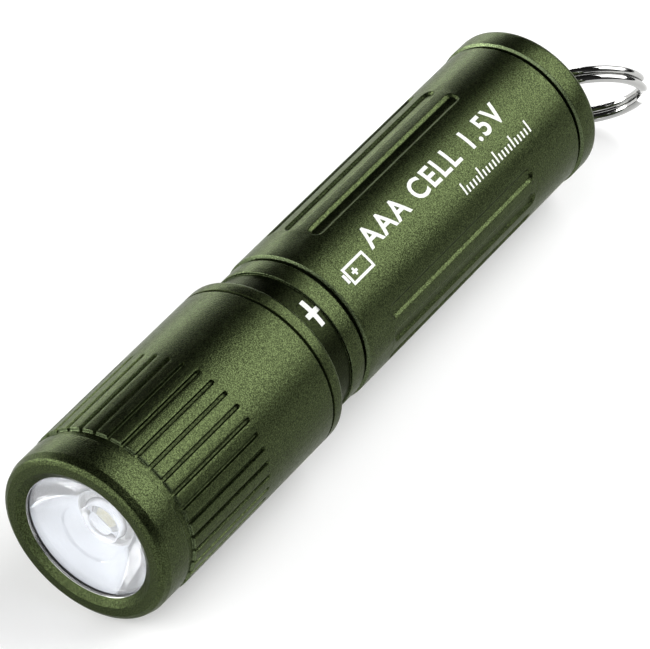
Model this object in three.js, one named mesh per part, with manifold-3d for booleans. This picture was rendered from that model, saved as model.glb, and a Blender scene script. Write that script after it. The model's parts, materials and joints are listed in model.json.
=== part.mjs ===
// Keychain flashlight for one AAA cell, lying on its side, with a split ring at its tail.
// Millimetres, +Z up. The light's axis runs along +Y, from the lens to the tail, and y = 0 is the
// front face until the finished light is set down on its origin, under the middle of its box.
import * as THREE from "three";
import { mergeVertices } from "three/addons/utils/BufferGeometryUtils.js";
import Module from "manifold-3d";

const wasm = await Module();
wasm.setup();

// ---- Driving dimensions ----

const overallLength = 60.5; // front face to the end of the key-ring lug
const headRadius = 7.0;
const bodyRadius = 6.28;
const tailRadius = 6.4;
const headEnd = 21.6; // rear edge of the head
const tailFace = 56.56; // rear face of the tail, where the lug starts

const cell = { radius: 5.24, length: 44.5, nubRadius: 1.9, nubHeight: 1.0, front: 9.4 };
const boreRadius = 5.34; // battery bore
const boreEnd = 55.4; // seat of the tail spring

const pitch = 1.0; // screw thread between head and tube
const quarterTurn = pitch / 4; // how far the head is backed off when the light is off
const threadSides = 20; // flats in one turn of the thread and of the cylinders under it
const thread = { front: 13.5, turns: 4.5, rootRadius: 5.58, crestRadius: 5.98, clearance: 0.11 };

const bezel = { radius: 6.91, length: 2.88, lensRadius: 5.05, lip: 0.6, skirtRadius: 6.34 };
const knurl = { count: 36, width: 0.45, depth: 0.3, front: 3.54, rear: 12.44, firstAngle: 0.7 };
const flute = { width: 1.3, depth: 0.3, front: 29.15, rear: 48.1, pitchAngle: 20 };
const fluteGroups = [118.2, 238.2, 358.2]; // middle flute of each group of three, degrees from +X

const lug = { holeY: 58.45, holeRadius: 1.25, halfWidth: 2.9, thickness: 2.4, angle: 49.5 };
const ring = { radius: 4.5, width: 0.66, height: 0.62, layerGap: 0.05, swing: -40.4, lean: 1.6 };
const ringStart = -20; // where the wire's first end is, degrees from the ring's far side

const board = { ledFront: 5.8, ledRear: 6.5, driverFront: 8.25, driverRear: 8.95 };
const wire = { radius: 0.28, offset: 3.9 };

// ---- Materials ----

function material(color, roughness, metalness) {
  return new THREE.MeshStandardMaterial({ color, roughness, metalness });
}

const anodised = material(0x58663f, 0.5, 0.6);
const steel = material(0xc8c8c4, 0.2, 1.0);
const nickel = material(0xb9b7ae, 0.3, 1.0);
const brass = material(0xc9a24a, 0.3, 1.0);
const copper = material(0xb87345, 0.35, 1.0);
const blackRubber = material(0x141414, 0.8, 0.0);
const whitePlastic = material(0xe8e8e2, 0.5, 0.0);
const acrylic = material(0xe4eaf0, 0.05, 0.0);
const phosphor = material(0xf2efb4, 0.4, 0.0);
const boardWhite = material(0xf2f2ee, 0.5, 0.0);
const boardGreen = material(0x1f5a38, 0.5, 0.0);
const component = material(0x2a2a2c, 0.5, 0.0);
const ceramic = material(0xb09468, 0.6, 0.0);
const redWire = material(0xb02222, 0.5, 0.0);
const labelBlue = material(0x2f4f8a, 0.4, 0.0);
const electrode = material(0x3a3a3a, 0.9, 0.0);

// ---- Solids ----

const light = new THREE.Group();
const turn = THREE.MathUtils.degToRad;

function add(name, geometry, meshMaterial) {
  const mesh = new THREE.Mesh(geometry, meshMaterial);
  mesh.name = name;
  light.add(mesh);
  return mesh;
}

// A solid of revolution about the light's axis. The outline is [radius, y] pairs, and runs
// forwards to rearwards where the material's outside is.
function lathe(outline, sides = 48) {
  const points = outline.map(([radius, y]) => new THREE.Vector2(radius, y));
  return new THREE.LatheGeometry(points, sides);
}

// A round disc or washer, from y = front to y = rear.
function washer(inner, outer, front, rear, sides = 30) {
  const corners = [[inner, front], [outer, front], [outer, rear], [inner, rear]];
  return lathe(inner > 0 ? [...corners, corners[0]] : corners, sides);
}

// A torus-like seal with a six-sided section, squeezed to the given thickness and width.
function seal(inner, outer, centre, width, sides = 40) {
  const middle = (inner + outer) / 2;
  const outline = [];
  for (let i = 0; i <= 6; i += 1) {
    const angle = (Math.PI * i) / 3;
    outline.push([
      middle + ((outer - inner) / 2) * Math.cos(angle),
      centre + (width / 2) * Math.sin(angle),
    ]);
  }
  return lathe(outline, sides);
}

function solidOf(geometry) {
  const bare = geometry.clone();
  bare.deleteAttribute("normal");
  bare.deleteAttribute("uv");
  const merged = mergeVertices(bare, 1e-5);
  const triangles = [];
  for (let i = 0; i < merged.index.count; i += 3) {
    const [a, b, c] = [0, 1, 2].map((k) => merged.index.getX(i + k));
    if (a !== b && b !== c && c !== a) {
      triangles.push(a, b, c);
    }
  }
  const vertProperties = new Float32Array(merged.attributes.position.array);
  const triVerts = new Uint32Array(triangles);
  return new wasm.Manifold(new wasm.Mesh({ numProp: 3, vertProperties, triVerts }));
}

function geometryOf(solid) {
  const mesh = solid.getMesh();
  const geometry = new THREE.BufferGeometry();
  geometry.setAttribute("position", new THREE.BufferAttribute(mesh.vertProperties, 3));
  geometry.setIndex(new THREE.BufferAttribute(mesh.triVerts, 1));
  geometry.computeVertexNormals();
  return geometry;
}

// Cuts each of the tools away from a shape.
function cut(geometry, tools) {
  let solid = solidOf(geometry);
  for (const tool of tools) {
    solid = solid.subtract(solidOf(tool));
  }
  return geometryOf(solid);
}

function join(geometry, piece) {
  return geometryOf(solidOf(geometry).add(solidOf(piece)));
}

// Turns a shape about the light's axis, so that what was on the +X side is at the given angle
// from +X towards +Z.
function aroundAxis(geometry, degrees) {
  return geometry.rotateY(-turn(degrees));
}

// ---- Wound shapes: threads, springs and the split ring ----

// A curve that winds about +Y. Its section keeps its first side pointing away from the axis.
class Winding extends THREE.Curve {
  constructor(angles, radiusAt, heightAt) {
    super();
    this.angles = angles;
    this.radiusAt = radiusAt;
    this.heightAt = heightAt;
  }

  getPoint(t, target = new THREE.Vector3()) {
    const angle = this.angles[0] + (this.angles[1] - this.angles[0]) * t;
    const radius = this.radiusAt(t);
    return target.set(radius * Math.sin(angle), this.heightAt(t), radius * Math.cos(angle));
  }

  computeFrenetFrames(segments) {
    const frames = { tangents: [], normals: [], binormals: [] };
    for (let i = 0; i <= segments; i += 1) {
      const tangent = this.getTangentAt(i / segments);
      const normal = this.getPointAt(i / segments).setY(0).normalize();
      normal.addScaledVector(tangent, -normal.dot(tangent)).normalize();
      frames.tangents.push(tangent);
      frames.normals.push(normal);
      frames.binormals.push(new THREE.Vector3().crossVectors(tangent, normal));
    }
    return frames;
  }
}

function polygon(points) {
  return new THREE.Shape(points.map(([x, y]) => new THREE.Vector2(x, y)));
}

function roundSection(radius, sides) {
  const corners = [];
  for (let i = 0; i < sides; i += 1) {
    const angle = (2 * Math.PI * (i + 0.5)) / sides;
    corners.push([radius * Math.cos(angle), radius * Math.sin(angle)]);
  }
  return polygon(corners);
}

function sweep(section, curve, steps) {
  return new THREE.ExtrudeGeometry(section, { steps, extrudePath: curve, curveSegments: 1 });
}

// A right-hand ridge of trapezoid section. Its angle follows y alone, so that the ridge on the
// tube and the groove in the head stay in step.
function threadRidge(front, rear, base, crest, baseWidth, crestWidth) {
  const angleAt = (y) => (2 * Math.PI * (y - thread.front)) / pitch;
  const middle = (base + crest) / 2;
  const half = (crest - base) / 2;
  const section = polygon([
    [-half, -baseWidth / 2],
    [half, -crestWidth / 2],
    [half, crestWidth / 2],
    [-half, baseWidth / 2],
  ]);
  const heightAt = (t) => front + (rear - front) * t;
  const winding = new Winding([angleAt(front), angleAt(rear)], () => middle, heightAt);
  return sweep(section, winding, Math.round(((rear - front) / pitch) * threadSides));
}

// ---- Head ----

const skirtEnd = 5.0;
const opticFront = bezel.lip + 0.25;

add("bezel_ring", lathe([
  [bezel.lensRadius, bezel.lip],
  [bezel.lensRadius, 0.45],
  [5.68, 0],
  [6.36, 0],
  [6.7, 0.22],
  [bezel.radius, 0.75],
  [bezel.radius, bezel.length - 0.1],
  [bezel.radius - 0.1, bezel.length],
  [bezel.skirtRadius, bezel.length],
  [bezel.skirtRadius, skirtEnd],
  [6.0, skirtEnd],
  [6.0, bezel.lip],
  [bezel.lensRadius, bezel.lip],
], 54), anodised);

add("bezel_gasket", washer(5.1, 5.9, bezel.lip + 0.02, opticFront - 0.02, 36), blackRubber);

// The optic is a solid paraboloid, which reflects the LED's light forwards from inside. It has a
// blind hollow over the LED and a small lens in the middle of its front.
const opticRear = 5.1;
const bowl = { front: 1.65, frontRadius: 5.5, rearRadius: 2.3, steps: 6 };

function bowlRadius(y) {
  const share = (opticRear - y) / (opticRear - bowl.front);
  return Math.sqrt(bowl.rearRadius ** 2 + (bowl.frontRadius ** 2 - bowl.rearRadius ** 2) * share);
}

// Points down the bowl from front to rear, pushed out from it by a gap.
function bowlOutline(gap) {
  const outline = [];
  for (let i = 0; i <= bowl.steps; i += 1) {
    const y = bowl.front + ((opticRear - bowl.front) * i) / bowl.steps;
    outline.push([bowlRadius(y) + gap, y]);
  }
  return outline;
}

add("tir_optic", lathe([
  [0, opticFront + 0.05],
  [1.4, opticFront + 0.12],
  [2.3, opticFront + 0.3],
  [2.4, opticFront],
  [5.88, opticFront],
  [5.88, opticFront + 0.75],
  ...bowlOutline(0),
  [1.75, opticRear],
  [1.6, 3.6],
  [0.9, 3.15],
  [0, 3.0],
], 36), acrylic);

// A bright cup holds the optic off the LED board.
const holder = { gap: 0.1, wall: 0.42, rimRadius: 5.92 };
add("optic_holder", lathe([
  ...bowlOutline(holder.gap).reverse(),
  [holder.rimRadius, bowl.front],
  [holder.rimRadius, bowl.front + 0.45],
  ...bowlOutline(holder.gap + holder.wall).slice(2),
  [bowl.rearRadius + holder.gap, opticRear],
], 36), whitePlastic);

const shelf = { front: 6.55, middle: 6.8, rear: 7.05, radius: 4.4 };
const driverSeat = 8.2;
const femaleFront = 13.2;
const femaleRear = 18.3;
const femaleMinor = thread.rootRadius + thread.clearance + 0.01;
const sealBore = 6.12;
const joint = knurl.front - 0.02;

const shellOutside = lathe([
  [0, 2.9],
  [6.76, 2.9],
  [6.76, joint - 0.1],
  [headRadius - 0.1, joint],
  [headRadius, joint + 0.12],
  [headRadius, 20.2],
  [headRadius - 0.14, 20.34],
  [headRadius - 0.14, 20.42],
  [headRadius, 20.56],
  [headRadius, headEnd - 0.35],
  [headRadius - 0.1, headEnd - 0.1],
  [headRadius - 0.35, headEnd],
  [0, headEnd],
], 72);

// In front of the shelf the shell takes the bezel's skirt and the LED board. The shelf is a ring
// that lets the leads through.
const frontBore = lathe([
  [0, 2.5],
  [6.4, 2.5],
  [6.4, 5.2],
  [5.3, 5.2],
  [5.3, shelf.front],
  [shelf.radius, shelf.front],
  [shelf.radius, shelf.middle],
  [0, shelf.middle],
], 48);

// Behind it come the driver's parts, the driver, the screw thread and the seal.
const driverBore = lathe([
  [0, shelf.middle - 0.1],
  [shelf.radius, shelf.middle - 0.1],
  [shelf.radius, shelf.rear],
  [5.2, shelf.rear],
  [5.2, driverSeat],
  [5.68, driverSeat],
  [5.68, femaleFront],
  [0, femaleFront],
], 40);
const threadBore = washer(0, femaleMinor, femaleFront - 0.1, femaleRear, threadSides);
const rearBore = lathe([
  [0, femaleRear - 0.1],
  [sealBore, femaleRear - 0.1],
  [sealBore, headEnd - 0.2],
  [6.3, headEnd],
  [6.3, headEnd + 0.5],
  [0, headEnd + 0.5],
], 48);

// A narrow lengthwise groove with a round rear end, lying on the +X side.
function knurlCutter() {
  const half = knurl.width / 2;
  const outline = new THREE.Shape();
  outline.moveTo(-half, knurl.front - 0.4);
  outline.lineTo(half, knurl.front - 0.4);
  outline.lineTo(half, knurl.rear - half);
  outline.absarc(0, knurl.rear - half, half, 0, Math.PI, false);
  outline.closePath();
  const options = { depth: knurl.depth + 0.3, bevelEnabled: false, curveSegments: 3 };
  const cutter = new THREE.ExtrudeGeometry(outline, options);
  return cutter.translate(0, 0, headRadius - knurl.depth).rotateY(Math.PI / 2);
}

function wireHole(side, front, rear) {
  const hole = new THREE.CylinderGeometry(0.5, 0.5, rear - front, 12);
  return hole.translate(side * wire.offset, (front + rear) / 2, 0);
}

const headCutters = [frontBore, driverBore, threadBore, rearBore];
for (let i = 0; i < knurl.count; i += 1) {
  headCutters.push(aroundAxis(knurlCutter(), knurl.firstAngle + (i * 360) / knurl.count));
}
headCutters.push(threadRidge(
  femaleFront - pitch / 2,
  femaleRear + pitch / 2,
  femaleMinor - 0.08,
  thread.crestRadius + thread.clearance,
  0.9,
  0.36,
));
add("head_shell", cut(shellOutside, headCutters), anodised);

// ---- LED, its board and the driver ----

const ledBoard = washer(0, 5.2, board.ledFront, board.ledRear, 36);
const ledHoles = [-1, 1].map((side) => wireHole(side, board.ledFront - 0.1, board.ledRear + 0.1));
add("led_board", cut(ledBoard, ledHoles), boardWhite);

const ledBase = board.ledFront - 0.02;
const ledTop = ledBase - 0.5;
const substrate = new THREE.BoxGeometry(3.0, ledBase - ledTop, 3.0);
add("led_substrate", substrate.translate(0, (ledBase + ledTop) / 2, 0), whitePlastic);

const domeOutline = [];
for (let i = 0; i <= 6; i += 1) {
  const angle = (Math.PI / 2) * (i / 6);
  domeOutline.push([1.25 * Math.sin(angle), ledTop - 0.02 - 0.9 * Math.cos(angle)]);
}
domeOutline.push([0, ledTop - 0.02]);
add("led_dome", lathe(domeOutline, 24), phosphor);

add("led_centring_ring", washer(2.25, 3.1, opticRear + 0.03, board.ledFront - 0.03), whitePlastic);

const driverBoard = washer(0, 5.6, board.driverFront, board.driverRear, 36);
const driverHoles = [-1, 1].map(
  (side) => wireHole(side, board.driverFront - 0.1, board.driverFront + 0.4),
);
add("driver_board", cut(driverBoard, driverHoles), boardGreen);

const contactFront = board.driverRear + 0.02;
add("driver_ground_ring", washer(4.75, 5.58, contactFront, contactFront + 0.03, 36), copper);

// The contact button stands on the driver's rear face, and touches the cell's nub.
add("positive_contact", lathe([
  [0, contactFront],
  [1.6, contactFront],
  [1.6, contactFront + 0.15],
  [1.1, cell.front - 0.03],
  [0, cell.front - 0.03],
], 24), brass);

add("contact_foam_ring", washer(2.3, 3.6, contactFront, contactFront + 0.9), blackRubber);

// Parts on the driver's front face: [name, size across x, height, size across z, x, z, material]
const driverParts = [
  ["driver_chip", 2.0, 0.75, 2.4, -1.6, 1.9, component],
  ["driver_inductor", 2.8, 0.95, 2.8, 1.6, -1.9, component],
  ["driver_input_capacitor", 1.0, 0.8, 1.7, 1.9, 2.0, ceramic],
  ["driver_output_capacitor", 1.7, 0.8, 1.0, -1.9, -2.2, ceramic],
];
for (const [name, width, height, depth, x, z, partMaterial] of driverParts) {
  const block = new THREE.BoxGeometry(width, height, depth);
  add(name, block.translate(x, board.driverFront - 0.02 - height / 2, z), partMaterial);
}

// Each lead runs from the driver through the shelf and the LED board, and bends flat onto it.
function leadPath(side) {
  const x = side * wire.offset;
  const bend = board.ledFront - 0.45;
  return new THREE.CatmullRomCurve3([
    new THREE.Vector3(x, board.driverFront + 0.3, 0),
    new THREE.Vector3(x, 7.2, 0),
    new THREE.Vector3(x, bend + 0.3, 0),
    new THREE.Vector3(x, bend, side * 0.3),
    new THREE.Vector3(x, bend, side * 1.3),
  ]);
}
const leadSection = roundSection(wire.radius, 8);
add("wire_positive", sweep(leadSection, leadPath(1), 12), redWire);
add("wire_negative", sweep(leadSection, leadPath(-1), 12), blackRubber);

// ---- AAA cell ----

const canFront = cell.front + cell.nubHeight;
const cellEnd = cell.front + cell.length;
const canRadius = 5.12;
const canWall = 0.2;
add("cell_can", lathe([
  [0, cell.front],
  [cell.nubRadius - 0.2, cell.front],
  [cell.nubRadius, cell.front + 0.2],
  [cell.nubRadius, canFront],
  [canRadius - 0.4, canFront],
  [canRadius, canFront + 0.4],
  [canRadius, cellEnd - 0.45],
  [canRadius - 0.3, cellEnd - 0.2],
  [canRadius - 0.6, cellEnd - 0.2],
  [canRadius - canWall, cellEnd - 0.6],
  [canRadius - canWall, canFront + 0.6],
  [0, canFront + 0.6],
], 30), nickel);
add("cell_core", washer(0, 4.8, canFront + 0.7, cellEnd - 1.3), electrode);
add("cell_seal", washer(3.7, 4.8, cellEnd - 1.25, cellEnd - 0.65), whitePlastic);
add("cell_negative_cap", lathe([
  [0, cellEnd - 0.6],
  [4.3, cellEnd - 0.6],
  [4.3, cellEnd - 0.3],
  [3.4, cellEnd],
  [0, cellEnd],
], 30), nickel);
add("cell_sleeve", washer(5.15, cell.radius, canFront + 0.45, cellEnd - 0.45, 36), labelBlue);

// ---- Battery tube ----

const tubeFront = board.driverRear + quarterTurn + 0.03 + 0.04;
const neckRadius = 5.94;
const neckEnd = 24.05;
const collarRadius = 6.14;
const sealGroove = { front: 19.55, rear: 20.4, floor: 5.56 };

// Both ends of the grip are marked off by a narrow groove with broken edges.
function grooveOutline(radius, centre) {
  return [
    [radius, centre - 0.24],
    [radius - 0.1, centre - 0.14],
    [radius - 0.34, centre - 0.12],
    [radius - 0.34, centre + 0.12],
    [radius - 0.1, centre + 0.14],
  ];
}

const threadedEnd = lathe([
  [0, tubeFront],
  [thread.rootRadius - 0.14, tubeFront],
  [thread.rootRadius, tubeFront + 0.14],
  [thread.rootRadius, 18.9],
  [0, 18.9],
], threadSides);
const tubeOutside = lathe([
  [0, 18.6],
  [thread.rootRadius, 18.6],
  [neckRadius, 18.9],
  [neckRadius, sealGroove.front],
  [sealGroove.floor, sealGroove.front],
  [sealGroove.floor, sealGroove.rear],
  [neckRadius, sealGroove.rear],
  [neckRadius, neckEnd],
  [collarRadius - 0.08, neckEnd],
  [collarRadius, neckEnd + 0.1],
  ...grooveOutline(collarRadius, 25.78),
  [bodyRadius, 26.05],
  ...grooveOutline(bodyRadius, 54.37),
  [tailRadius, 54.66],
  [tailRadius, tailFace - 0.5],
  [tailRadius - 0.15, tailFace - 0.15],
  [tailRadius - 0.5, tailFace],
  [0, tailFace],
], 54);
const batteryBore = washer(0, boreRadius, tubeFront - 1, boreEnd, 36);

const tubeThread = threadRidge(
  thread.front,
  thread.front + thread.turns * pitch,
  thread.rootRadius - 0.12,
  thread.crestRadius,
  0.8,
  0.18,
);

// A shallow round-ended flute, on the +X side.
function fluteCutter() {
  const half = flute.width / 2;
  const cutterRadius = (half ** 2 + flute.depth ** 2) / (2 * flute.depth);
  const straight = flute.rear - flute.front - flute.width;
  const cutter = new THREE.CapsuleGeometry(cutterRadius, straight, 4, 20);
  return cutter.translate(
    bodyRadius + cutterRadius - flute.depth,
    (flute.front + flute.rear) / 2,
    0,
  );
}

const tubeCutters = [batteryBore];
for (const middle of fluteGroups) {
  for (const place of [-1, 0, 1]) {
    tubeCutters.push(aroundAxis(fluteCutter(), middle + place * flute.pitchAngle));
  }
}

// The lug is a flat tongue with a round end, its hole across it, drawn flat and stood on the tail.
function lugShape() {
  const outline = new THREE.Shape();
  outline.moveTo(-lug.halfWidth, tailFace - 0.4);
  outline.lineTo(lug.halfWidth, tailFace - 0.4);
  outline.lineTo(lug.halfWidth, tailFace + 0.9);
  outline.quadraticCurveTo(lug.halfWidth, overallLength, 0.9, overallLength);
  outline.lineTo(-0.9, overallLength);
  outline.quadraticCurveTo(-lug.halfWidth, overallLength, -lug.halfWidth, tailFace + 0.9);
  outline.closePath();
  const hole = new THREE.Path();
  hole.absarc(0, lug.holeY, lug.holeRadius, 0, 2 * Math.PI, true);
  outline.holes.push(hole);
  return outline;
}

const lugSolid = new THREE.ExtrudeGeometry(lugShape(), {
  depth: lug.thickness,
  bevelEnabled: false,
  curveSegments: 10,
});
lugSolid.translate(0, 0, -lug.thickness / 2).rotateY(Math.PI / 2);
aroundAxis(lugSolid, lug.angle);

const tubeWhole = [threadedEnd, tubeThread, lugSolid].reduce(join, tubeOutside);
add("battery_tube", cut(tubeWhole, tubeCutters), anodised);

add("neck_o_ring", seal(
  sealGroove.floor + 0.03,
  sealBore - 0.03,
  (sealGroove.front + sealGroove.rear) / 2,
  sealGroove.rear - sealGroove.front - 0.1,
), blackRubber);

// The spring's wide coil sits on the end of the bore, and its narrow coil meets the cell.
const springWire = 0.28;
const springGap = 0.03;
const spring = {
  front: cellEnd + springGap + springWire,
  rear: boreEnd - springGap - springWire,
  frontRadius: 1.9,
  rearRadius: 4.6,
};
const springCoil = new Winding(
  [0, 2 * Math.PI * 4],
  (t) => spring.rearRadius + (spring.frontRadius - spring.rearRadius) * t,
  (t) => spring.rear + (spring.front - spring.rear) * t,
);
add("tail_spring", sweep(roundSection(springWire, 6), springCoil, 64), steel);

// ---- Split ring ----

// Two flat turns of wire. The wire steps from one layer to the other on the far side of the lug.
const layerStep = turn(35);
const layer = ring.height + ring.layerGap;
const ringAngle = 4 * Math.PI - layerStep;
function ringHeight(t) {
  const angle = ringAngle * t;
  const stepStart = 2 * Math.PI - layerStep;
  const share = THREE.MathUtils.smoothstep(angle, stepStart, 2 * Math.PI);
  return layer * (share - 0.5);
}
const halfWidth = ring.width / 2;
const halfHeight = ring.height / 2;
const corner = 0.14;
const ringSection = polygon([
  [halfWidth - corner, -halfHeight],
  [halfWidth, -halfHeight + corner],
  [halfWidth, halfHeight - corner],
  [halfWidth - corner, halfHeight],
  [-halfWidth + corner, halfHeight],
  [-halfWidth, halfHeight - corner],
  [-halfWidth, -halfHeight + corner],
  [-halfWidth + corner, -halfHeight],
]);
const ringEnds = [turn(ringStart), turn(ringStart) + ringAngle];
const ringCoil = new Winding(ringEnds, () => ring.radius, ringHeight);
const splitRing = add("split_ring", sweep(ringSection, ringCoil, 68), steel);

// The ring hangs through the lug's hole: it swings about the hole and leans along it.
const holeAxis = new THREE.Vector3(1, 0, 0).applyAxisAngle(
  new THREE.Vector3(0, 1, 0),
  -turn(lug.angle),
);
const outward = new THREE.Vector3(0, 1, 0).applyAxisAngle(holeAxis, turn(ring.swing));
const across = new THREE.Vector3().crossVectors(holeAxis, outward);
outward.applyAxisAngle(across, turn(ring.lean));
const ringSide = new THREE.Vector3().crossVectors(across, outward);
splitRing.setRotationFromMatrix(new THREE.Matrix4().makeBasis(ringSide, across, outward.clone()));
splitRing.position.set(0, lug.holeY, 0).addScaledVector(outward, ring.radius);

// ---- Set down on the origin ----

light.updateMatrixWorld(true);
const box = new THREE.Box3().setFromObject(light, true);
const middle = box.getCenter(new THREE.Vector3());
light.position.set(-middle.x, -middle.y, -box.min.z);

export default light;
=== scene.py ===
import json
import math

import bmesh
import bpy
from mathutils import Matrix, Vector


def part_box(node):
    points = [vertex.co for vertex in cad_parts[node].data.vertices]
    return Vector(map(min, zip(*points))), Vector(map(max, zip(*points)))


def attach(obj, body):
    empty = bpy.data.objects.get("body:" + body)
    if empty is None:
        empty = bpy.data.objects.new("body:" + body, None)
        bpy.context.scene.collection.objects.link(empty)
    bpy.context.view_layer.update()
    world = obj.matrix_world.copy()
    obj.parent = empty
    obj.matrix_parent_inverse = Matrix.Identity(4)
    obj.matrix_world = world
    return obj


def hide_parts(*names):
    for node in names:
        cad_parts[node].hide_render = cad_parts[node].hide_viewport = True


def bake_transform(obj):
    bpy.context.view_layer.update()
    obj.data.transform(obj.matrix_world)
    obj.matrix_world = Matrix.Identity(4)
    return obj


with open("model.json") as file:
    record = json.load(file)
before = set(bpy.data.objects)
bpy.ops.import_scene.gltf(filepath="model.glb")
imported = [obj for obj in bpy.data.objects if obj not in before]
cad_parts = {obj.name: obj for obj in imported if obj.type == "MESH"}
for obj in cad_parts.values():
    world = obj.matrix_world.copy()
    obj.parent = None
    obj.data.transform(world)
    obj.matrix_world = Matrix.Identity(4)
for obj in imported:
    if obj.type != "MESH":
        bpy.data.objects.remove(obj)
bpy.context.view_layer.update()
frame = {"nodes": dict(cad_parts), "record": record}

# ---- Places and sizes, in millimetres along and around the light's axis ----
# s is the distance from the front face towards the tail, r the distance from the axis.
# Angles go round the axis, from +X towards +Z.

MM = 0.001
shell_low, shell_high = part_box("head_shell")
tube_low, tube_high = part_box("battery_tube")
bezel_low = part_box("bezel_ring")[0]

AXIS_Z = (shell_low.z + shell_high.z) / 2
FRONT_Y = bezel_low.y
HEAD_R = (shell_high.z - shell_low.z) / 2 / MM
HEAD_END = (shell_high.y - FRONT_Y) / MM
TUBE_FRONT = (tube_low.y - FRONT_Y) / MM
LIGHT_END = (tube_high.y - FRONT_Y) / MM
TAIL_R = 6.4
TAIL_FACE = 56.56
BODY_R = 6.28
BORE_R = 5.34
BORE_END = 55.4
NECK_R = 5.94
NECK_END = 24.05
COLLAR_R = 6.14

KNURL = {"count": 36, "pitch": 10, "first": 0.7, "half": 0.17, "depth": 0.24, "front": 3.0,
         "rear": 12.44}
FLUTE = {"half": 0.65, "depth": 0.22, "wall": 0.32, "front": 29.15, "rear": 48.1, "pitch": 20}
FLUTE_GROUPS = (118.2, 238.2, 358.2)
PANEL_ANGLE = 58.2      # middle of the panel that carries the print

PITCH = 1.0
THREAD = {"front": 13.5, "rear": 18.0}
MALE = {"root": 5.58, "height": 0.4, "base_half": 0.36, "crest_half": 0.09}
FEMALE = {"root": 5.7, "height": 0.39, "base_half": 0.43, "crest_half": 0.18}

LUG = {"hole_s": 58.45, "hole_r": 1.25, "half": 2.9, "thick": 2.4, "angle": 49.5}
RING = {"r": 4.48, "width": 0.64, "height": 0.61, "corner": 0.27, "gap": 0.05, "swing": -40.4,
        "lean": 1.6}
RING_START = -20        # where the wire's first end is, round from the ring's far side

SPRING = {"front": 54.22, "rear": 55.09, "front_r": 1.9, "rear_r": 4.6, "wire_r": 0.27, "turns": 4}

OPTIC = {"front": 0.85, "rear": 5.1, "bowl_front": 1.65, "bowl_r": 5.5, "rear_r": 2.3}
LENS = {"r": 2.3, "rise": 0.1, "sunk": 0.05}

PRINT_S = {"plus": 23.4, "cell": 27.6, "letters": 31.0, "marks": 41.0}
EDGE_STEEP = 0.2        # how far a face turns along the light to get the painted edge highlight


def place(r, s, angle):
    """The point at radius r and distance s, at an angle in degrees."""
    a = math.radians(angle)
    return Vector((r * math.cos(a) * MM, FRONT_Y + s * MM, AXIS_Z + r * math.sin(a) * MM))


# ---- Mesh helpers ----


def new_object(name, bm, body, replaced=(), sharp=35):
    """Makes an object of a bmesh, shaded smooth with its sharp edges kept. It rides on a body,
    unless body is None."""
    bmesh.ops.recalc_face_normals(bm, faces=bm.faces)
    mesh = bpy.data.meshes.new(name)
    bm.to_mesh(mesh)
    bm.free()
    mesh.polygons.foreach_set("use_smooth", [True] * len(mesh.polygons))
    mesh.set_sharp_from_angle(angle=math.radians(sharp))
    piece = bpy.data.objects.new(name, mesh)
    bpy.context.scene.collection.objects.link(piece)
    if body:
        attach(piece, body)
    if replaced:
        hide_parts(*replaced)
    return piece


def fillet(outline, steps=4, closed=False):
    """Rounds the corners of an outline of (r, s, fillet radius) points. Returns (r, s) points."""
    rounded = []
    count = len(outline)
    for i, (r, s, radius) in enumerate(outline):
        if radius == 0 or (not closed and i in (0, count - 1)):
            rounded.append((r, s))
            continue
        here = Vector((r, s))
        before = Vector(outline[i - 1][:2]) - here
        after = Vector(outline[(i + 1) % count][:2]) - here
        half = before.angle(after) / 2
        reach = min(radius / math.tan(half), before.length * 0.49, after.length * 0.49)
        start = here + before.normalized() * reach
        end = here + after.normalized() * reach
        for k in range(steps + 1):
            t = k / steps
            point = start * (1 - t) ** 2 + here * 2 * t * (1 - t) + end * t ** 2
            rounded.append((point.x, point.y))
    return rounded


def revolve(outline, angles, shape=None, closed=True):
    """A bmesh of an outline turned about the axis. shape(i, r, s, column) may return another
    (r, angle) for a point. An outline that isn't closed ends on the axis at both ends."""
    bm = bmesh.new()
    rows = []
    for i, (r, s) in enumerate(outline):
        if r == 0:
            rows.append([bm.verts.new(place(0, s, 0))] * len(angles))
            continue
        row = []
        for column, angle in enumerate(angles):
            at_r, at_angle = shape(i, r, s, column) if shape else (r, angle)
            row.append(bm.verts.new(place(at_r, s, at_angle)))
        rows.append(row)
    pairs = list(zip(rows, rows[1:]))
    if closed:
        pairs.append((rows[-1], rows[0]))
    for first, second in pairs:
        for k in range(len(angles)):
            m = (k + 1) % len(angles)
            corners = []
            for vert in (first[k], first[m], second[m], second[k]):
                if vert not in corners:
                    corners.append(vert)
            bm.faces.new(corners)
    return bm


def even_angles(count):
    return [360 * k / count for k in range(count)]


def lathe(name, outline, body, replaced=(), count=128, closed=True):
    bm = revolve(fillet(outline, closed=closed), even_angles(count), closed=closed)
    return new_object(name, bm, body, replaced)


def smoothstep(low, high, value):
    t = min(max((value - low) / (high - low), 0), 1)
    return t * t * (3 - 2 * t)


def stations(first, last, step):
    count = max(1, round((last - first) / step))
    return [first + (last - first) * k / count for k in range(count + 1)]


def thread_height(thread, s, angle):
    """How far up a thread's flank a point is, from 0 at the root to 1 at the crest."""
    turns = (90 - angle) / 360
    off = (s - THREAD["front"]) / PITCH - turns
    off = abs(off - round(off)) * PITCH
    base, crest = thread["base_half"], thread["crest_half"]
    return min(max((base - off) / (base - crest), 0), 1)


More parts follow.
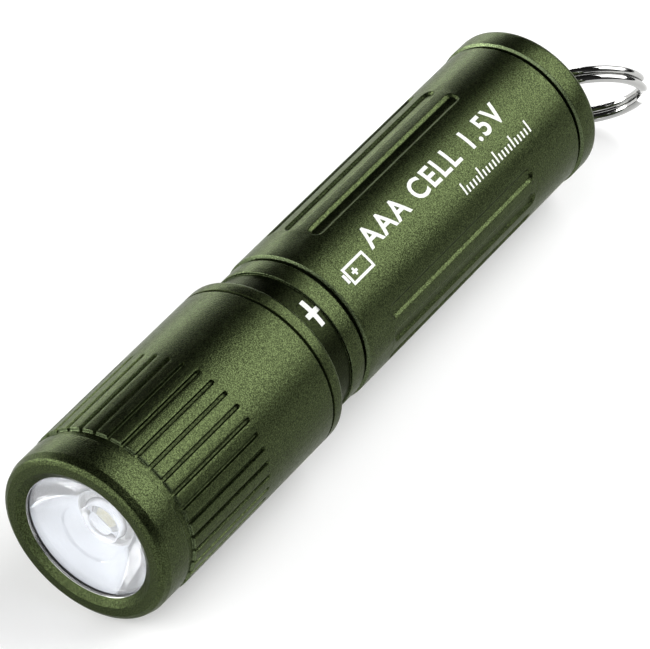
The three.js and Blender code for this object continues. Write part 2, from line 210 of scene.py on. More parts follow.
class Recess:
    """A long groove with round ends, and the mesh columns that follow its edges."""

    def __init__(self, angle, size, insets, depth_at):
        self.angle = angle
        self.size = size
        self.depth_at = depth_at
        self.reach = [size["half"] - inset for inset in insets]

    def columns(self):
        sides = [-reach for reach in self.reach] + self.reach[-2::-1]
        return [(self, side) for side in sides]

    def past_end(self, s):
        half = self.size["half"]
        return max(self.size["front"] + half - s, s - self.size["rear"] + half, 0)

    def offset(self, side, s):
        """The column's distance from the groove's middle, drawn in round its ends. Past the ends
        the columns stay a little apart, in their own order."""
        along = self.past_end(s)
        least = 0.012 + 0.02 * abs(side)
        across = max(math.sqrt(max(side * side - along * along, 0)), least if side else 0)
        return math.copysign(across, side)

    def depth(self, side, s):
        across = self.offset(side, s)
        return self.depth_at(self.size["half"] - math.hypot(across, self.past_end(s)))


def end_stations(size, insets):
    """Stations that follow the round ends of a recess."""
    half = size["half"]
    reaches = [math.sin(math.radians(10 * k)) for k in range(9)]
    steps = sorted({half * reach for reach in reaches} | {half - inset for inset in insets})
    steps = [step for step in steps if step > 0]
    front = [size["front"] + half - step for step in reversed(steps)]
    rear = [size["rear"] - half + step for step in steps]
    return front, rear


# ---- Materials ----


class Nodes:
    """A material's node tree, with its Principled shader."""

    def __init__(self, name, color, roughness, metallic=0.0, **inputs):
        self.material = bpy.data.materials.new(name)
        self.material.use_nodes = True
        self.tree = self.material.node_tree
        self.shader = self.tree.nodes["Principled BSDF"]
        self.shader.inputs["Base Color"].default_value = (*color, 1)
        self.shader.inputs["Roughness"].default_value = roughness
        self.shader.inputs["Metallic"].default_value = metallic
        for key, value in inputs.items():
            self.shader.inputs[key.replace("_", " ")].default_value = value
        self.coordinates = self.add("ShaderNodeTexCoord").outputs["Object"]

    def add(self, kind):
        return self.tree.nodes.new(kind)

    def link(self, start, end):
        self.tree.links.new(start, end)

    def noise(self, size_mm, detail=3.0, roughness=0.5):
        """A noise pattern with grains of about the given size."""
        node = self.add("ShaderNodeTexNoise")
        node.inputs["Scale"].default_value = 1 / (size_mm * MM)
        node.inputs["Detail"].default_value = detail
        node.inputs["Roughness"].default_value = roughness
        self.link(self.coordinates, node.inputs["Vector"])
        return node.outputs["Fac"]

    def ramp(self, source, stops):
        """A colour ramp through (position, colour) stops."""
        node = self.add("ShaderNodeValToRGB")
        elements = node.color_ramp.elements
        while len(elements) < len(stops):
            elements.new(0.5)
        for element, (position, color) in zip(elements, stops):
            element.position = position
            element.color = (*color, 1)
        self.link(source, node.inputs["Fac"])
        return node.outputs["Color"]

    def spread(self, source, low, high):
        """Maps a pattern's middle range to low..high."""
        node = self.add("ShaderNodeMapRange")
        node.inputs["From Min"].default_value = 0.3
        node.inputs["From Max"].default_value = 0.7
        node.inputs["To Min"].default_value = low
        node.inputs["To Max"].default_value = high
        self.link(source, node.inputs["Value"])
        return node.outputs["Result"]

    def bump(self, source, depth_mm, strength):
        node = self.add("ShaderNodeBump")
        node.inputs["Strength"].default_value = strength
        node.inputs["Distance"].default_value = depth_mm * MM
        self.link(source, node.inputs["Height"])
        self.link(node.outputs["Normal"], self.shader.inputs["Normal"])

    def color(self, source):
        self.link(source, self.shader.inputs["Base Color"])

    def roughness(self, source):
        self.link(source, self.shader.inputs["Roughness"])


def scaled(color, factor):
    return tuple(channel * factor for channel in color)


def anodised(name, color, roughness=0.34, grain=0.6):
    """Bead-blasted aluminium, dyed and anodised: a fine sparkling grain in colour and relief."""
    nodes = Nodes(name, color, roughness, 1.0, Specular_Tint=(0.7, 0.72, 0.66, 1))
    speckle = nodes.noise(0.09, detail=1.0, roughness=0.6)
    stops = [
        (0.34, scaled(color, 1 - grain)),
        (0.5, color),
        (0.66, scaled(color, 1 + 1.6 * grain)),
    ]
    nodes.color(nodes.ramp(speckle, stops))
    nodes.roughness(nodes.spread(nodes.noise(0.3), roughness - 0.06, roughness + 0.06))
    nodes.bump(nodes.noise(0.11, detail=1.0), depth_mm=0.02, strength=1.0)
    return nodes.material


def polished(name, color, roughness):
    """Bright metal with fine drawing marks."""
    nodes = Nodes(name, color, roughness, 1.0)
    nodes.roughness(nodes.spread(nodes.noise(0.5), roughness - 0.04, roughness + 0.08))
    nodes.bump(nodes.noise(0.25, detail=4.0), depth_mm=0.002, strength=0.3)
    return nodes.material


def moulded(name, color, roughness=0.5, size_mm=0.2, depth_mm=0.004):
    """Plastic, rubber, ceramic or lacquer: slight changes of tone and a fine relief."""
    nodes = Nodes(name, color, roughness)
    pattern = nodes.noise(size_mm, detail=4.0)
    nodes.color(nodes.ramp(pattern, [(0.3, scaled(color, 0.85)), (0.7, scaled(color, 1.1))]))
    nodes.roughness(nodes.spread(pattern, roughness - 0.06, roughness + 0.08))
    nodes.bump(pattern, depth_mm, strength=0.5)
    return nodes.material


def painted_glow_plastic(name):
    """White plastic round the optic, with a painted glow that stands in for the light the optic
    gathers.
    """
    nodes = Nodes(name, (0.9, 0.92, 0.95), 0.2, Emission_Color=(0.95, 0.97, 1.0, 1))
    nodes.link(nodes.spread(nodes.noise(2.5), 0.24, 0.42), nodes.shader.inputs["Emission Strength"])
    return nodes.material


def clear(name):
    """Clear moulded acrylic."""
    nodes = Nodes(name, (0.96, 0.975, 1.0), 0.02, Transmission_Weight=0.84, IOR=1.49)
    nodes.roughness(nodes.spread(nodes.noise(1.5), 0.0, 0.01))
    return nodes.material


def phosphor(name):
    """Clear silicone over yellow phosphor, its tone changing a little from spot to spot."""
    nodes = Nodes(name, (0.95, 0.9, 0.55), 0.25, Coat_Weight=0.6)
    pattern = nodes.noise(0.4, detail=2.0)
    nodes.color(nodes.ramp(pattern, [(0.3, (0.95, 0.88, 0.5)), (0.7, (1.0, 0.97, 0.72))]))
    nodes.bump(pattern, depth_mm=0.01, strength=0.3)
    return nodes.material


GREEN = (0.0345, 0.045, 0.0185)
MATERIALS = {
    "anodised_green": anodised("anodised_green", GREEN),
    # painted highlight: a lighter green on chamfers, standing in for the light they catch
    "painted_highlight_edge": anodised("painted_highlight_edge", (0.07, 0.09, 0.045), 0.28, 0.3),
    # painted shade: a darker green for hollows and the neck, standing in for shadow
    "painted_shade_green": anodised("painted_shade_green", scaled(GREEN, 0.3)),
    # painted shade: a darker green for the knurl groove floors, standing in for shadow
    "groove_painted_shade": anodised("groove_painted_shade", scaled(GREEN, 0.5)),
    "steel": polished("steel", (0.42, 0.42, 0.41), 0.08),
    "nickel": polished("nickel", (0.6, 0.58, 0.53), 0.2),
    "brass": polished("brass", (0.72, 0.5, 0.2), 0.2),
    "copper": polished("copper", (0.75, 0.36, 0.2), 0.25),
    "black_rubber": moulded("black_rubber", (0.012, 0.012, 0.012), 0.45),
    "black_foam": moulded("black_foam", (0.02, 0.02, 0.02), 0.9, 0.12, 0.03),
    "white_plastic": moulded("white_plastic", (0.82, 0.82, 0.8), 0.4),
    # painted light: a glow on the optic holder
    "painted_glow_plastic": painted_glow_plastic("painted_glow_plastic"),
    "clear_optic": clear("clear_optic"),
    "phosphor": phosphor("phosphor"),
    "white_board": moulded("white_board", (0.85, 0.86, 0.85), 0.35),
    "green_board": moulded("green_board", (0.02, 0.11, 0.045), 0.35, 0.5),
    "black_component": moulded("black_component", (0.02, 0.02, 0.022), 0.5),
    "ceramic": moulded("ceramic", (0.4, 0.27, 0.14), 0.5),
    "red_insulation": moulded("red_insulation", (0.5, 0.02, 0.02), 0.35),
    "electrode": moulded("electrode", (0.03, 0.03, 0.03), 0.9, 0.1, 0.02),
    "blue_label": moulded("blue_label", (0.03, 0.08, 0.25), 0.25),
    "white_print": moulded("white_print", (0.86, 0.88, 0.84), 0.6, 0.08, 0.004),
}


def paint(piece, name):
    piece.data.materials.clear()
    piece.data.materials.append(MATERIALS[name])


def paint_bands(piece, name, bands, steep=0.0, outer=math.inf):
    """Gives a material to the faces between the stations of each band, (first s, last s, inner
    r), that lie inside the outer radius and face forwards or rearwards at least as steeply as
    asked."""
    piece.data.materials.append(MATERIALS[name])
    index = len(piece.data.materials) - 1
    for face in piece.data.polygons:
        s = (face.center.y - FRONT_Y) / MM
        r = math.hypot(face.center.x, face.center.z - AXIS_Z) / MM
        in_band = any(first < s < last and inner < r < outer for first, last, inner in bands)
        if in_band and abs(face.normal.y) >= steep:
            face.material_index = index


def paint_carried_nodes():
    """Gives each CAD node the material of its slot in the record."""
    slots = {part["node"]: part["material_slot"] for part in frame["record"]["subparts"]}
    for name, node in frame["nodes"].items():
        material = MATERIALS[slots[name]]
        if not node.material_slots:
            node.data.materials.append(material)
        for slot in node.material_slots:
            slot.material = material


# ---- Head ----


def make_bezel():
    outline = [
        (5.05, 0.6, 0.02), (5.05, 0.42, 0.05), (5.68, 0.0, 0.06), (6.36, 0.0, 0.12),
        (6.72, 0.2, 0.3), (6.91, 0.8, 0.3), (6.91, 2.88, 0.08), (6.34, 2.88, 0.02),
        (6.34, 5.0, 0.05), (6.0, 5.0, 0.05), (6.0, 0.6, 0.02),
    ]
    bezel = lathe("bezel_ring_fine", outline, "head", ["bezel_ring"], 192)
    paint(bezel, "anodised_green")
    # the bezel's rear chamfer gets a painted highlight
    rear_edge_highlight = (2.7, 2.9, 6.4)
    bright_lip = (0, HEAD_END, 0)
    lip_outer = 5.1
    paint_bands(bezel, "painted_highlight_edge", [rear_edge_highlight], EDGE_STEEP)
    paint_bands(bezel, "steel", [bright_lip], outer=lip_outer)


def make_head_shell():
    insets = (-0.05, -0.02, 0.01, 0.045, 0.08, KNURL["half"])
    land_edge = 3.4         # degrees from a groove's middle
    grooved = (4.0, 12.6)   # ahead of and behind these stations the columns run straight
    inner_r, neck_bore_r = 5.68, 6.12

    def wall(inset):
        return KNURL["depth"] * smoothstep(-0.03, 0.06, inset)

    columns = []
    for k in range(KNURL["count"]):
        middle = KNURL["first"] + KNURL["pitch"] * k
        groove = Recess(middle, KNURL, insets, wall)
        columns.append((None, middle - KNURL["pitch"] / 2))
        columns.append((None, middle - land_edge))
        columns.extend(groove.columns())
        columns.append((None, middle + land_edge))

    outer_front = fillet([
        (6.76, 2.92, 0), (6.76, 3.5, 0.05), (HEAD_R, 3.58, 0.05), (HEAD_R, 3.9, 0),
    ])
    rear_stations = end_stations(KNURL, insets)[1]
    plain = fillet([
        (HEAD_R, 12.7, 0), (HEAD_R, 20.24, 0.05), (HEAD_R - 0.16, 20.32, 0.02),
        (HEAD_R - 0.16, 20.44, 0.02), (HEAD_R, 20.5, 0.05), (HEAD_R, HEAD_END, 0.35),
        (6.3, HEAD_END, 0.05), (neck_bore_r, HEAD_END - 0.2, 0.05), (neck_bore_r, 18.3, 0.05),
        (FEMALE["root"], THREAD["rear"], 0),
    ])
    carved = outer_front + [(HEAD_R, s) for s in rear_stations]
    threaded = stations(13.2, THREAD["rear"], 0.1)[:-1]
    female = [(FEMALE["root"], s) for s in reversed(threaded)]
    inside = [
        (inner_r, 12.8), (inner_r, 8.2), (5.2, 8.2), (5.2, 7.05), (4.4, 7.05), (4.4, 6.55),
        (5.3, 6.55), (5.3, 5.2), (6.4, 5.2), (6.4, 2.92),
    ]
    outline = carved + plain + female + inside
    groove_rows = range(len(carved))
    thread_rows = range(len(carved) + len(plain), len(carved) + len(plain) + len(female))

    def shape(i, r, s, column):
        recess, value = columns[column]
        at_s = min(max(s, grooved[0]), grooved[1])
        angle = value
        if recess:
            angle = recess.angle + math.degrees(recess.offset(value, at_s) / HEAD_R)
        if i in groove_rows and recess:
            r = min(r, HEAD_R - recess.depth(value, at_s))
        if i in thread_rows:
            r += FEMALE["height"] * thread_height(FEMALE, s, angle)
        return r, angle

    bm = revolve(outline, [0] * len(columns), shape)
    shell = new_object("head_shell_fine", bm, "head", ["head_shell"])
    paint(shell, "anodised_green")
    # painted highlights on the chamfers
    highlight_edges = [(3.4, 3.7, 6.6), (20.1, 20.32, 6.8), (21.4, 21.7, 6.6)]
    # painted shade on the floor of the ring groove
    ring_groove = (20.32, 20.5, 6.7)
    floor_r = HEAD_R - KNURL["depth"]
    # painted shade on the floors of the knurl grooves
    groove_floors = (3.7, 12.6, floor_r - 0.05)
    paint_bands(shell, "painted_highlight_edge", highlight_edges, EDGE_STEEP)
    paint_bands(shell, "painted_shade_green", [ring_groove])
    paint_bands(shell, "groove_painted_shade", [groove_floors], outer=floor_r + 0.03)


def bowl_outline(gap, steps=20):
    """Points down the optic's paraboloid from front to rear, pushed out from it by a gap."""
    outline = []
    for k in range(steps + 1):
        share = k / steps
        square = OPTIC["bowl_r"] ** 2 * (1 - share) + OPTIC["rear_r"] ** 2 * share
        s = OPTIC["bowl_front"] + (OPTIC["rear"] - OPTIC["bowl_front"]) * share
        outline.append((math.sqrt(square) + gap, s, 0))
    return outline


def make_optic():
    front, rear = OPTIC["front"], OPTIC["rear"]
    lens_s = front + LENS["sunk"]
    steps = 8
    outline = [(0, lens_s, 0)]
    for k in range(1, steps + 1):
        share = k / steps
        outline.append((LENS["r"] * share, lens_s + LENS["rise"] * share ** 2, 0))
    flange_r, flange_end = 5.88, front + 0.75
    outline += [(2.38, front, 0.02), (flange_r, front, 0.05), (flange_r, flange_end, 0.05)]
    outline += bowl_outline(0)
    outline += [(1.75, rear, 0.04), (1.6, 3.6, 0.1), (0.9, 3.15, 0.3), (0, 3.0, 0)]
    optic = lathe("tir_optic_fine", outline, "head", ["tir_optic"], 192, False)
    paint(optic, "clear_optic")


def make_optic_holder():
    """A cup round the optic's bowl, with a rim at its front."""
    clearance, wall, under_rim = 0.1, 0.42, 5
    rim_r, rim_front, rim_deep = 5.92, OPTIC["bowl_front"], 0.45
    outline = list(reversed(bowl_outline(clearance)))
    outline += [(rim_r, rim_front, 0.05), (rim_r, rim_front + rim_deep, 0.05)]
    outline += bowl_outline(clearance + wall)[under_rim:]
    holder = lathe("optic_holder_fine", outline, "head", ["optic_holder"], 128)
    # the holder gets a painted glow
    paint(holder, "painted_glow_plastic")


def make_gasket():
    outline = [(5.07, 0.62, 0.05), (5.9, 0.62, 0.05), (5.9, 0.83, 0.05), (5.07, 0.83, 0.05)]
    gasket = lathe("bezel_gasket_fine", outline, "head", ["bezel_gasket"])
    paint(gasket, "black_rubber")


# ---- Battery tube ----


def groove_points(r, s):
    """A narrow groove with broken edges, across the outline at s."""
    return [
        (r, s - 0.26, 0.03), (r - 0.09, s - 0.15, 0.02), (r - 0.34, s - 0.12, 0.03),
        (r - 0.34, s + 0.12, 0.03), (r - 0.09, s + 0.15, 0.02), (r, s + 0.26, 0.03),
    ]


def make_lug():
    """The lug is a flat tongue with a round end and a hole, its edges rounded."""
    curve = bpy.data.curves.new("lug_outline", "CURVE")
    curve.dimensions = "2D"
    curve.fill_mode = "BOTH"
    curve.resolution_u = 12
    edge = 0.2
    curve.bevel_depth = edge * MM
    curve.bevel_resolution = 3
    curve.extrude = (LUG["thick"] / 2 - edge) * MM
    curve.offset = -edge * MM
    half, end, root = LUG["half"], LIGHT_END, TAIL_FACE - 0.5
    side = TAIL_FACE + 0.9
    outline = [
        ((-half, root), (-half, root), (half, root)),
        ((half, root), (half, root), (half, side)),
        ((half, side), (half, side - 0.3), (half, side + 1.9)),
        ((0.9, end), (2.1, end), (0.3, end)),
        ((-0.9, end), (-0.3, end), (-2.1, end)),
        ((-half, side), (-half, side + 1.9), (-half, side - 0.3)),
    ]
    outer = curve.splines.new("BEZIER")
    outer.bezier_points.add(len(outline) - 1)
    for point, (middle, left, right) in zip(outer.bezier_points, outline):
        point.co = Vector((*middle, 0)) * MM
        point.handle_left = Vector((*left, 0)) * MM
        point.handle_right = Vector((*right, 0)) * MM
    outer.bezier_points[0].handle_left = outer.bezier_points[0].co
    outer.bezier_points[1].handle_right = outer.bezier_points[1].co
    outer.use_cyclic_u = True
    hole = curve.splines.new("BEZIER")
    hole.bezier_points.add(3)
    circle_handle = 0.5523  # the handle of a Bezier quarter circle of radius 1
    reach = circle_handle * LUG["hole_r"]
    for k, point in enumerate(hole.bezier_points):
        a = math.radians(90 * k)
        out = Vector((math.cos(a), math.sin(a), 0))
        along = Vector((-math.sin(a), math.cos(a), 0))
        middle = Vector((0, LUG["hole_s"], 0)) + out * LUG["hole_r"]
        point.co = middle * MM
        point.handle_left = (middle - along * reach) * MM
        point.handle_right = (middle + along * reach) * MM
    hole.use_cyclic_u = True
    shaped = bpy.data.objects.new("lug_outline", curve)
    bpy.context.scene.collection.objects.link(shaped)
    mesh = bpy.data.meshes.new_from_object(shaped.evaluated_get(
        bpy.context.evaluated_depsgraph_get()))
    bpy.data.objects.remove(shaped)
    bm = bmesh.new()
    bm.from_mesh(mesh)
    bmesh.ops.remove_doubles(bm, verts=bm.verts, dist=1e-7)
    across = math.radians(LUG["angle"])
    thick = Vector((math.cos(across), 0, math.sin(across)))
    wide = Vector((0, 1, 0)).cross(thick)
    turn = Matrix((wide, Vector((0, 1, 0)), thick)).transposed().to_4x4()
    bm.transform(Matrix.Translation((0, FRONT_Y, AXIS_Z)) @ turn)
    return bm


def make_tube():
    insets = (-0.06, 0.0, 0.03, 0.08, 0.14, 0.2, 0.26, 0.32, 0.37, FLUTE["half"])
    group_pitch, plain_step = 120, 2.5      # degrees
    threaded, fade_in, fade_out = (13.0, 18.5), (13.3, 13.7), (17.9, 18.3)
    o_ring_r, mouth_r = 5.56, 5.4
    fluted = (FLUTE["front"] - 0.1, FLUTE["rear"] + 0.1)

    def hollow(inset):
        return FLUTE["depth"] * smoothstep(-0.01, FLUTE["wall"], inset)

    columns = []
    for group in FLUTE_GROUPS:
        for k in (-1, 0, 1):
            middle = group + k * FLUTE["pitch"]
            flute = Recess(middle, FLUTE, insets, hollow)
            columns.extend(flute.columns())
            columns.append((None, middle + FLUTE["pitch"] / 2))
        clear_panel = group_pitch - 3 * FLUTE["pitch"]
        first = group + 1.5 * FLUTE["pitch"]
        plain_count = round(clear_panel / plain_step)
        columns.extend((None, first + plain_step * k) for k in range(1, plain_count + 1))
    columns = sorted(columns, key=column_angle)

    front_rows, rear_rows = end_stations(FLUTE, insets)
    outline = [(0, BORE_END), (4.9, BORE_END), (5.2, BORE_END - 0.12), (BORE_R, BORE_END - 0.4)]
    outline += [(BORE_R, TUBE_FRONT + 0.12), (mouth_r, TUBE_FRONT), (5.5, TUBE_FRONT)]
    outline += [(MALE["root"], TUBE_FRONT + 0.1), (MALE["root"], THREAD["front"] - 0.5)]
    first_thread = len(outline)
    outline += [(MALE["root"], s) for s in stations(*threaded, 0.1)]
    last_thread = len(outline)
    outline += fillet([
        (MALE["root"], 18.6, 0), (NECK_R, 18.9, 0.05), (NECK_R, 19.55, 0.04),
        (o_ring_r, 19.55, 0.04), (o_ring_r, 20.4, 0.04), (NECK_R, 20.4, 0.04),
        (NECK_R, NECK_END, 0.03), (COLLAR_R, NECK_END, 0.07), *groove_points(COLLAR_R, 25.78)[:5],
        (BODY_R, 26.04, 0.06), (BODY_R, 27.0, 0),
    ])
    first_flute = len(outline)
    outline += [(BODY_R, s) for s in front_rows + stations(29.8, 47.45, 3.0) + rear_rows]
    last_flute = len(outline)
    outline += fillet([
        (BODY_R, 48.6, 0), *groove_points(BODY_R, 54.37)[:5], (TAIL_R, 54.66, 0.06),
        (TAIL_R, TAIL_FACE, 0.45), (4.0, TAIL_FACE, 0), (0, TAIL_FACE, 0),
    ])

    def shape(i, r, s, column):
        recess, value = columns[column]
        at_s = min(max(s, fluted[0]), fluted[1])
        if i < first_flute or i >= last_flute:
            at_s = (FLUTE["front"] + FLUTE["rear"]) / 2
        angle = value
        if recess:
            angle = recess.angle + math.degrees(recess.offset(value, at_s) / BODY_R)
        if first_flute <= i < last_flute and recess:
            r -= recess.depth(value, at_s)
        if first_thread <= i < last_thread:
            fade = smoothstep(*fade_in, s) * (1 - smoothstep(*fade_out, s))
            r += MALE["height"] * fade * thread_height(MALE, s, angle)
        return r, angle

    bm = revolve(outline, [0] * len(columns), shape, closed=False)
    tube = new_object("battery_tube_fine", bm, "tube", ["battery_tube"])
    lug = new_object("lug", make_lug(), "tube")
    union = tube.modifiers.new("lug", "BOOLEAN")
    union.operation = "UNION"
    union.solver = "EXACT"
    union.object = lug
    joined = bpy.data.meshes.new_from_object(
        tube.evaluated_get(bpy.context.evaluated_depsgraph_get()))
    tube.modifiers.clear()
    tube.data = joined
    bpy.data.objects.remove(lug)
    paint(tube, "anodised_green")
    # painted shade on the neck between head and collar
    neck = (20.5, 24.0, 5.8)
    # painted highlights on the chamfers
    highlight_edges = [(25.4, 26.1, 6.04), (24.0, 24.15, 5.95), (54.0, 54.8, 6.18), (56.3, 56.6, 6.0)]
    paint_bands(tube, "painted_shade_green", [neck])
    paint_bands(tube, "painted_highlight_edge", highlight_edges, EDGE_STEEP)


def column_angle(column):
    """Where a column of the tube stands, in degrees round the axis."""
    recess, value = column
    angle = recess.angle + math.degrees(value / BODY_R) if recess else value
    return angle % 360


def make_o_ring():
    middle_r, middle_s, half_r, half_s = 5.84, 19.975, 0.25, 0.34
    steps = 20
    outline = []
    for k in range(steps):
        a = 2 * math.pi * k / steps
        outline.append((middle_r + half_r * math.cos(a), middle_s + half_s * math.sin(a), 0))
    o_ring = lathe("neck_o_ring_fine", outline, "tube", ["neck_o_ring"])
    paint(o_ring, "black_rubber")


# ---- Wound wire ----


def sweep(points, sides, section):
    """A bmesh of a section swept along points. sides are the directions of the section's x."""
    bm = bmesh.new()
    rings = []
    for i, point in enumerate(points):
        along = points[min(i + 1, len(points) - 1)] - points[max(i - 1, 0)]
        up = along.normalized().cross(sides[i]).normalized()
        side = up.cross(along.normalized())
        rings.append([bm.verts.new(point + side * x + up * y) for x, y in section])
    count = len(section)
    for first, second in zip(rings, rings[1:]):
        for k in range(count):
            m = (k + 1) % count
            bm.faces.new((first[k], first[m], second[m], second[k]))
    bm.faces.new(list(reversed(rings[0])))
    bm.faces.new(rings[-1])
    return bm


def rounded_box(width, height, corner):
    """The outline of a rounded rectangle, in metres."""
    steps = 5
    points = []
    for k in range(4):
        corner_x = (1, -1, -1, 1)[k] * (width / 2 - corner)
        corner_y = (1, 1, -1, -1)[k] * (height / 2 - corner)
        for j in range(steps + 1):
            a = math.radians(90 * k + 90 * j / steps)
            x = corner_x + corner * math.cos(a)
            y = corner_y + corner * math.sin(a)
            points.append((x * MM, y * MM))
    return points


def make_split_ring():
    """Two flat turns of wire, which steps from one layer to the other between its ends."""
    centre, normal, far = ring_plane()
    step = 35               # degrees that the wire takes to cross to the other layer
    turn = 720 - step
    steps = 240
    points = []
    sides = []
    for k in range(steps + 1):
        angle = turn * k / steps
        share = smoothstep(360 - step, 360, angle)
        a = math.radians(RING_START + angle)
        side = far * math.cos(a) + normal.cross(far) * math.sin(a)
        height = (RING["height"] + RING["gap"]) * (share - 0.5)
        points.append(centre + (side * RING["r"] + normal * height) * MM)
        sides.append(side)
    bm = sweep(points, sides, rounded_box(RING["width"], RING["height"], RING["corner"]))
    ring = new_object("split_ring_fine", bm, "key_ring", ["split_ring"], 50)
    paint(ring, "steel")


def ring_plane():
    """Centre and normal of the CAD split ring, and the direction from the lug to its far side."""
    swing, lean = math.radians(RING["swing"]), math.radians(RING["lean"])
    across = math.radians(LUG["angle"])
    hole_axis = Vector((math.cos(across), 0, math.sin(across)))
    outward = Matrix.Rotation(swing, 3, hole_axis) @ Vector((0, 1, 0))
    normal = hole_axis.cross(outward)
    outward = Matrix.Rotation(lean, 3, normal) @ outward
    centre = place(0, LUG["hole_s"], 0) + outward * RING["r"] * MM
    return centre, normal, outward


def make_tail_spring():
    """A conical coil. Its wide end stays on the end of the bore, and its narrow end points to the
    cell."""
    steps, section_sides = 160, 12
    points = []
    sides = []
    for k in range(steps + 1):
        share = k / steps
        r = SPRING["rear_r"] + (SPRING["front_r"] - SPRING["rear_r"]) * share
        s = SPRING["rear"] + (SPRING["front"] - SPRING["rear"]) * share
        angle = 360 * SPRING["turns"] * share
        points.append(place(r, s, angle))
        sides.append((place(1, 0, angle) - place(0, 0, 0)).normalized())
    wire = SPRING["wire_r"] * MM
    section_angles = [2 * math.pi * k / section_sides for k in range(section_sides)]
    section = [(wire * math.cos(a), wire * math.sin(a)) for a in section_angles]
    bm = sweep(points, sides, section)
    spring = new_object("tail_spring_fine", bm, None, ["tail_spring"], 50)
    paint(spring, "steel")
    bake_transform(spring)


# ---- Print ----


def wrap_print(name, bm, radius, s_start, angle):
    """Bends a flat drawing, x along the light and y round it, onto the tube as a thin film. The
    drawing is first cut into narrow strips, so that it can bend."""
    cuts, strip = 60, 0.12
    for k in range(-cuts, cuts + 1):
        bmesh.ops.bisect_plane(
            bm, geom=bm.verts[:] + bm.edges[:] + bm.faces[:], dist=1e-6,
            plane_co=(0, k * strip, 0), plane_no=(0, 1, 0))
    film, sunk = 0.012, 0.02
    flat = [(v, v.co.x, v.co.y) for v in bm.verts]
    for v, x, y in flat:
        v.co = place(radius + film, s_start + x, angle + math.degrees(y / radius))
    top = list(bm.faces)
    made = bmesh.ops.extrude_face_region(bm, geom=top)
    for v in (item for item in made["geom"] if isinstance(item, bmesh.types.BMVert)):
        out = Vector((v.co.x, 0, v.co.z - AXIS_Z)).normalized()
        v.co -= out * (film + sunk) * MM
    piece = new_object(name, bm, "tube", sharp=60)
    paint(piece, "white_print")


def bars(rectangles):
    """A flat drawing of rectangles, (x0, y0, x1, y1) each, in millimetres."""
    bm = bmesh.new()
    for x0, y0, x1, y1 in rectangles:
        corners = [(x0, y0), (x1, y0), (x1, y1), (x0, y1)]
        bm.faces.new([bm.verts.new((x, y, 0)) for x, y in corners])
    return bm


def lettering(text, size, weight, spacing):
    """A flat drawing of plain letters, in millimetres."""
    curve = bpy.data.curves.new("lettering", "FONT")
    curve.body = text
    curve.size = size
    curve.offset = weight
    curve.space_character = spacing
    curve.resolution_u = 4
    shaped = bpy.data.objects.new("lettering", curve)
    bpy.context.scene.collection.objects.link(shaped)
    mesh = bpy.data.meshes.new_from_object(
        shaped.evaluated_get(bpy.context.evaluated_depsgraph_get()))
    bpy.data.objects.remove(shaped)
    bm = bmesh.new()
    bm.from_mesh(mesh)
    bmesh.ops.remove_doubles(bm, verts=bm.verts, dist=1e-5)
    return bm


def cell_symbol(length, height, line, nub):
    """A flat drawing of a battery cell lying along the light, its positive end forward."""
    half, nub_gap = height / 2, 0.08
    plus_x, arm, bar = 0.85, 0.3, 0.1
    return bars([
        (0, -half, line, half), (length - line, -half, length, half),
        (line, half - line, length - line, half), (line, -half, length - line, line - half),
        (-nub, -half / 2, -nub_gap, half / 2),
        (plus_x - arm, -bar, plus_x + arm, bar),
        (plus_x - bar, bar, plus_x + bar, arm), (plus_x - bar, -arm, plus_x + bar, -bar),
    ])


def scale_marks(count, pitch, line, short, long):
    """A flat drawing of evenly spaced marks, each fifth one longer."""
    return bars([
        (k * pitch, 0, k * pitch + line, long if k % 5 == 0 else short) for k in range(count)
    ])


def make_print():
    along, round_arm, bar = 0.69, 1.15, 0.21
    plus = [
        (-along, -bar, -bar, bar), (-bar, -round_arm, bar, round_arm), (bar, -bar, along, bar),
    ]
    cell = cell_symbol(length=2.6, height=1.5, line=0.22, nub=0.35)
    letters = lettering("AAA CELL 1.5V", size=2.4, weight=0.045, spacing=1.14)
    letters_angle, marks_angle = PANEL_ANGLE + 2, PANEL_ANGLE - 17
    marks = scale_marks(count=21, pitch=0.43, line=0.16, short=0.55, long=1.0)
    wrap_print("polarity_mark", bars(plus), NECK_R, PRINT_S["plus"], PANEL_ANGLE)
    wrap_print("cell_mark", cell, BODY_R, PRINT_S["cell"], PANEL_ANGLE)
    wrap_print("cell_size_mark", letters, BODY_R, PRINT_S["letters"], letters_angle)
    wrap_print("scale_mark", marks, BODY_R, PRINT_S["marks"], marks_angle)


paint_carried_nodes()
make_bezel()
make_head_shell()
make_optic()
make_optic_holder()
make_gasket()
make_tube()
make_o_ring()
make_split_ring()
make_tail_spring()
make_print()


# ---- Camera, light and floor ----

CAMERA_AZIMUTH = math.radians(34.0)
CAMERA_ELEVATION = math.radians(42.3)
CAMERA_DEPTH = 321.65     # from the lens to the light's front face, along the view
FACE_LEFT = 16.55         # how far the front face is left of the view's axis
FACE_BELOW = 14.79        # and how far below it
LENS_MM = 261.4
SENSOR_MM = 36.0


def make_camera():
    cos_e, sin_e = math.cos(CAMERA_ELEVATION), math.sin(CAMERA_ELEVATION)
    cos_a, sin_a = math.cos(CAMERA_AZIMUTH), math.sin(CAMERA_AZIMUTH)
    forward = Vector((-sin_a * cos_e, cos_a * cos_e, -sin_e))
    right = Vector((cos_a, sin_a, 0))
    up = right.cross(forward)
    aim = place(0, 0, 0) + (right * FACE_LEFT + up * FACE_BELOW) * MM
    data = bpy.data.cameras.new("camera")
    data.lens = LENS_MM
    data.sensor_width = SENSOR_MM
    data.clip_start = 0.01
    data.clip_end = 20
    camera = bpy.data.objects.new("camera", data)
    bpy.context.scene.collection.objects.link(camera)
    camera.matrix_world = Matrix.Translation(aim - forward * CAMERA_DEPTH * MM) @ Matrix(
        (right, up, -forward)).transposed().to_4x4()
    bpy.context.scene.camera = camera


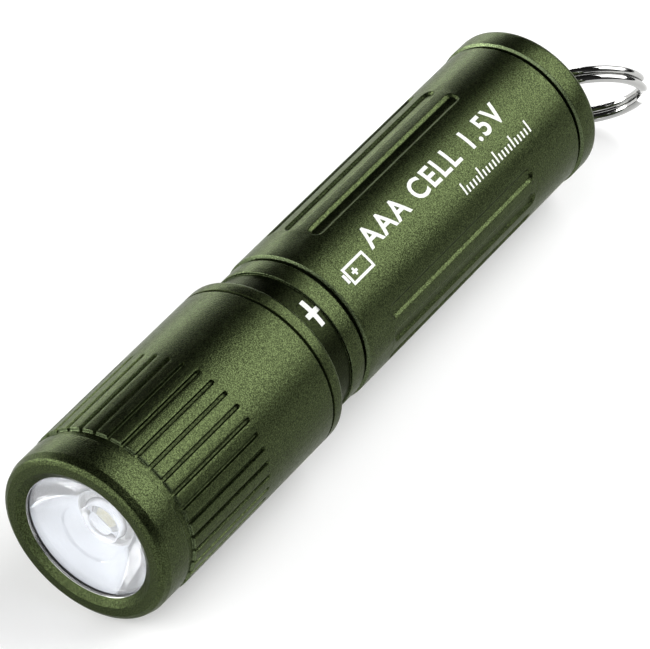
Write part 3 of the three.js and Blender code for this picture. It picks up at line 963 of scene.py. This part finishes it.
def area_light(name, offset_mm, size_mm, radiance):
    """A soft rectangular light, placed from the middle of the flashlight and aimed at it."""
    data = bpy.data.lights.new(name, "AREA")
    data.shape = "RECTANGLE"
    data.size, data.size_y = (side * MM for side in size_mm)
    data.energy = radiance * math.pi * data.size * data.size_y
    target = place(0, LIGHT_END / 2, 0)
    lamp = bpy.data.objects.new(name, data)
    bpy.context.scene.collection.objects.link(lamp)
    lamp.location = target + Vector(offset_mm) * MM
    lamp.rotation_mode = "QUATERNION"
    lamp.rotation_quaternion = (target - lamp.location).to_track_quat("-Z", "Y")


def make_floor():
    """A wide pale floor, a hair below the light so that the two don't touch."""
    bm = bmesh.new()
    reach, drop = 3.0, 0.00002
    corners = [(-reach, -reach), (reach, -reach), (reach, reach), (-reach, reach)]
    bm.faces.new([bm.verts.new((x, y, 0)) for x, y in corners])
    mesh = bpy.data.meshes.new("floor")
    bm.to_mesh(mesh)
    bm.free()
    floor = bpy.data.objects.new("floor", mesh)
    bpy.context.scene.collection.objects.link(floor)
    floor.location.z = -drop
    nodes = Nodes("pale_floor", (0.82, 0.82, 0.82), 0.8, Specular_IOR_Level=0.1,
                  Emission_Color=(1, 1, 1, 1), Emission_Strength=0.2)
    floor.data.materials.append(nodes.material)


def make_world(behind, ahead):
    """A plain grey studio: ahead of the lens (-Y) its wall is brighter than behind the tail."""
    world = bpy.data.worlds.new("studio")
    world.use_nodes = True
    tree = world.node_tree
    direction = tree.nodes.new("ShaderNodeTexCoord").outputs["Generated"]
    parts = tree.nodes.new("ShaderNodeSeparateXYZ")
    fade = tree.nodes.new("ShaderNodeMapRange")
    fade.interpolation_type = "SMOOTHSTEP"
    ends = {"From Min": -0.6, "From Max": 0.1, "To Min": ahead, "To Max": behind}
    for key, value in ends.items():
        fade.inputs[key].default_value = value
    tree.links.new(direction, parts.inputs["Vector"])
    tree.links.new(parts.outputs["Y"], fade.inputs["Value"])
    tree.links.new(fade.outputs["Result"], tree.nodes["Background"].inputs["Strength"])
    bpy.context.scene.world = world


bpy.context.scene.view_settings.view_transform = "Standard"
make_camera()
make_floor()
make_world(behind=0.3, ahead=0.95)
area_light("key_light", (165, 245, 270), (420, 360), 5.0)
area_light("left_light", (-330, 240, 22), (300, 44), 14.0)
area_light("front_light", (-60, -330, 160), (500, 360), 2.8)
area_light("edge_light", (-330, -130, 60), (300, 180), 9.0)
